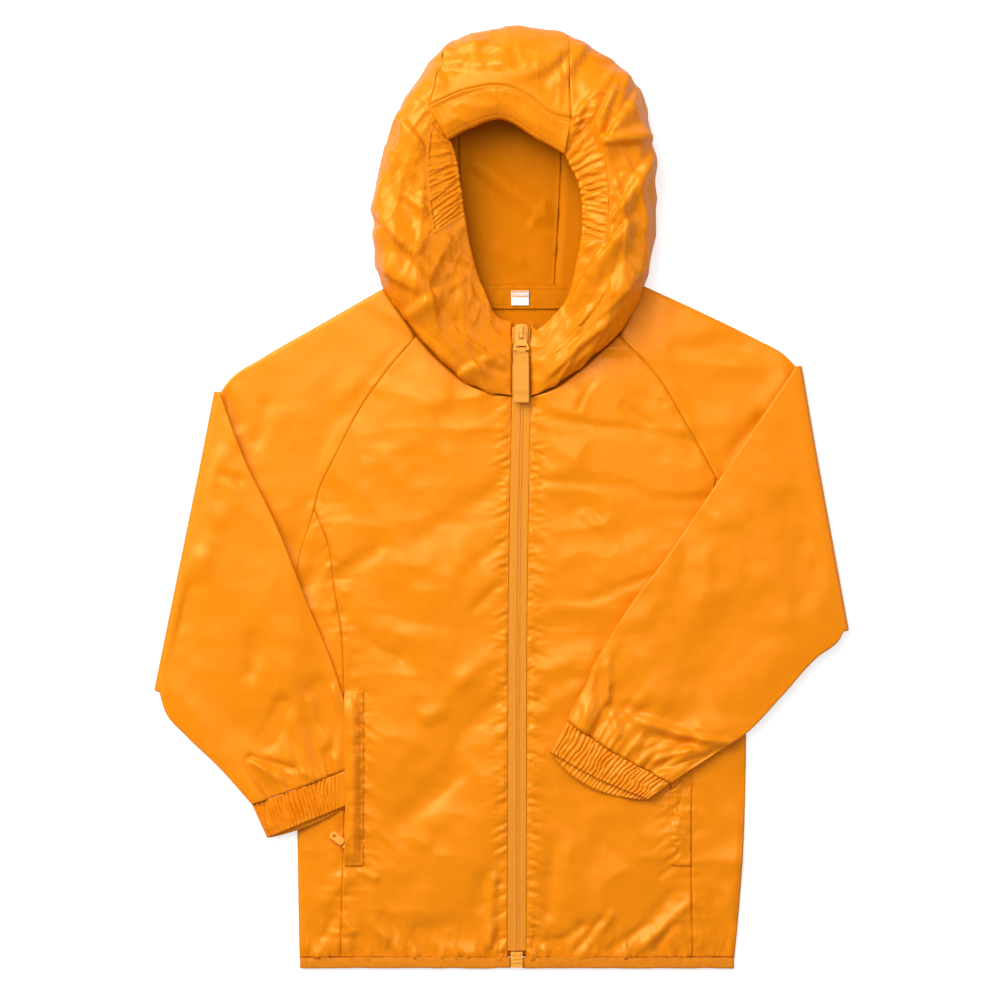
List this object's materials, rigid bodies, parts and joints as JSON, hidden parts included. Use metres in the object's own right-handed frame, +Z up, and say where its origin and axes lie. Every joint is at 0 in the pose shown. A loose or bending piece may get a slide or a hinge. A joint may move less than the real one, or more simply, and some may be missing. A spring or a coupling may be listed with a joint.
{
  "type": "kids windbreaker",
  "caption": "Child's thin hooded zip-front windbreaker with raglan sleeves, elastic cuffs and welt pockets, laid flat with both sleeves folded over the front.",
  "frame": {"origin": "on the flat underside of the back panel, near the middle of the whole laid garment", "axes": "+X to the viewer's right, +Y from the hem to the hood, +Z up off the surface it lies on"},
  "size_m": [0.4862, 0.6581, 0.0441],
  "materials": {
    "cloth": "glossy plain-woven nylon",
    "binding": "elastic knitted binding",
    "tape": "matt woven tape",
    "label": "white woven label, bare",
    "chain": "fine plastic coil",
    "moulded": "lacquered, orange"
  },
  "bodies": {
    "jacket": {"back_panel": "cloth", "front_left": "cloth", "front_right": "cloth", "side_panel_left": "cloth", "side_panel_right": "cloth", "hem_binding": "binding", "pocket_welt_left": "cloth", "pocket_welt_right": "cloth", "sleeve_left": "cloth", "sleeve_right": "cloth", "cuff_left": "cloth", "cuff_right": "cloth", "hood_side_left": "cloth", "hood_side_right": "cloth", "hood_centre": "cloth", "hood_brim": "cloth", "hood_casing_left": "cloth", "hood_casing_right": "cloth", "neck_band": "cloth", "label": "label", "zip_tape_left": "tape", "zip_tape_right": "tape", "zip_chain": "chain", "zip_foot_box": "moulded", "zip_slider": "moulded", "pocket_slider": "moulded"},
    "main_pull": {"zip_pull": "moulded", "pull_ribbon": "tape"},
    "pocket_tab": {"pocket_pull": "moulded"}
  },
  "joints": [
    {"name": "main_pull_swing", "type": "hinge", "parent": "jacket", "child": "main_pull", "pos_m": [0.0137, 0.1168, 0.0092], "axis": [-1, 0, 0], "range_deg": [0, 150]},
    {"name": "pocket_tab_swing", "type": "hinge", "parent": "jacket", "child": "pocket_tab", "pos_m": [-0.1104, -0.2407, 0.0058], "axis": [0.6112, 0.7915, 0], "range_deg": [0, 60]}
  ]
}
